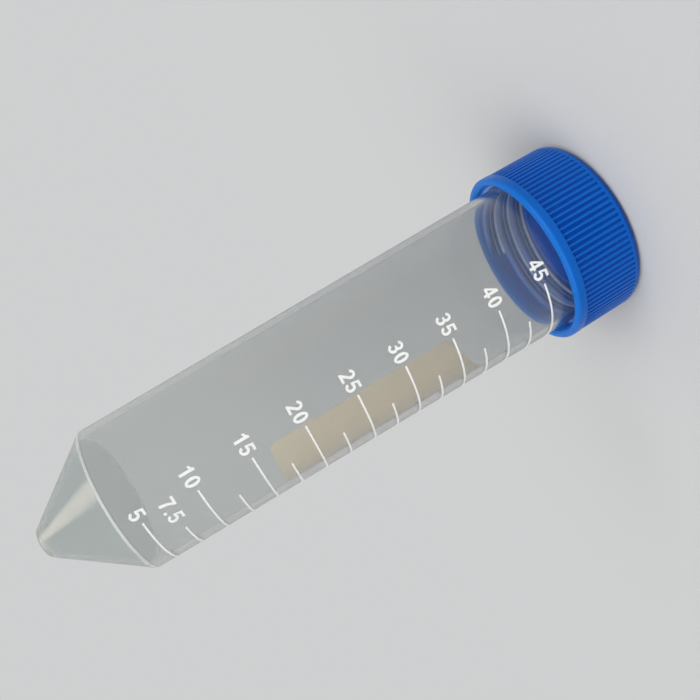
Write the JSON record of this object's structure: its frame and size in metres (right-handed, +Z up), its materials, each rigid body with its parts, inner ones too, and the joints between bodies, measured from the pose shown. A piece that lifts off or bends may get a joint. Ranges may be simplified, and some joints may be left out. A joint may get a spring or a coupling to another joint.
{
  "type": "50 ml conical centrifuge tube",
  "caption": "Conical-bottomed clear plastic centrifuge tube with a printed volume scale and a ribbed blue screw cap, standing upside down on its cap.",
  "frame": {"origin": "on the bench, at the middle of the cap's flat top, on which the tube stands", "axes": "+Z up along the tube's own axis, from the cap towards the blunt tip; -Y is the side that the scale's numbers face"},
  "size_m": [0.034, 0.034, 0.1137],
  "materials": {
    "tube_plastic": "clear, slightly milky polypropylene, smooth",
    "cap_plastic": "royal blue moulded plastic, satin",
    "scale_ink": "opaque white printing ink",
    "patch_ink": "opaque matt cream printing ink"
  },
  "bodies": {
    "cap": {"cap": "cap_plastic"},
    "tube": {"tube": "tube_plastic"}
  },
  "joints": [
    {"name": "tube_lift", "type": "slide", "parent": "cap", "child": "tube", "axis": [0, 0, 1], "range_m": [0, 0.03]}
  ]
}
